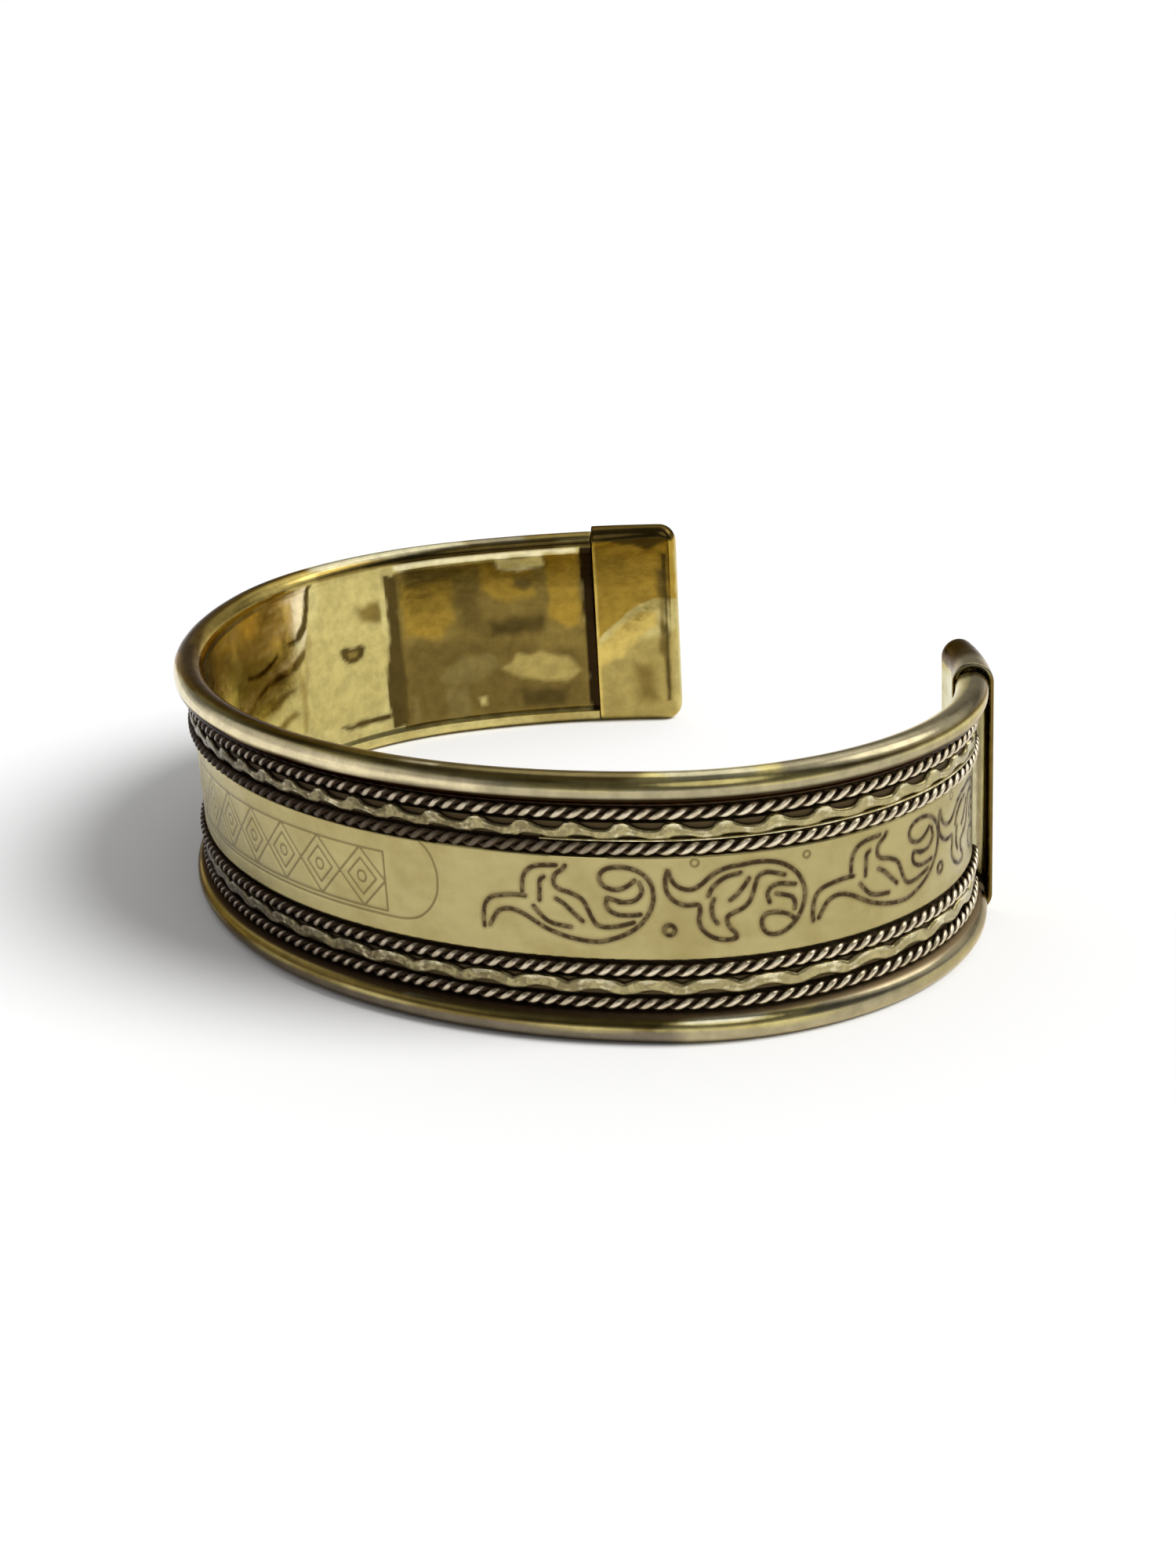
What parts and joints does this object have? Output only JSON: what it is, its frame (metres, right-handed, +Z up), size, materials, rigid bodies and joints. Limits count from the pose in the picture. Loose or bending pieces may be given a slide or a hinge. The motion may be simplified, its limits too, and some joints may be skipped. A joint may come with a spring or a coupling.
{
  "type": "cuff bracelet",
  "caption": "Open brass cuff bracelet: sheet band with round rims, twisted wires, wave strips, an engraved centre plate and folded end caps",
  "frame": {"origin": "Centre of the bounding box at its lowest plane, which the lower rim and the end caps stand on", "axes": "+X along the cuff's width, the long side of its oval plan; +Y towards the gap between the two ends; +Z up, along the wrist"},
  "size_m": [0.0656, 0.0487, 0.0164],
  "materials": {
    "polished_brass": "polished brass, worn and scratched, with darker streaks and a patina left in the channel",
    "engraved_brass": "satin brass, with dark patina in the engraved lines",
    "rope_wire": "rubbed tops over a nearly black patina",
    "wave_wire": "rubbed brass, with dark patina in the hollows",
    "cap_brass": "polished brass sheet, worn"
  },
  "bodies": {
    "root": {"band": "polished_brass", "centre_plate": "engraved_brass", "rope_upper_outer": "rope_wire", "rope_upper_inner": "rope_wire", "rope_lower_inner": "rope_wire", "rope_lower_outer": "rope_wire", "wave_strip_upper": "wave_wire", "wave_strip_lower": "wave_wire", "end_cap_left": "cap_brass", "end_cap_right": "cap_brass"}
  },
  "joints": []
}
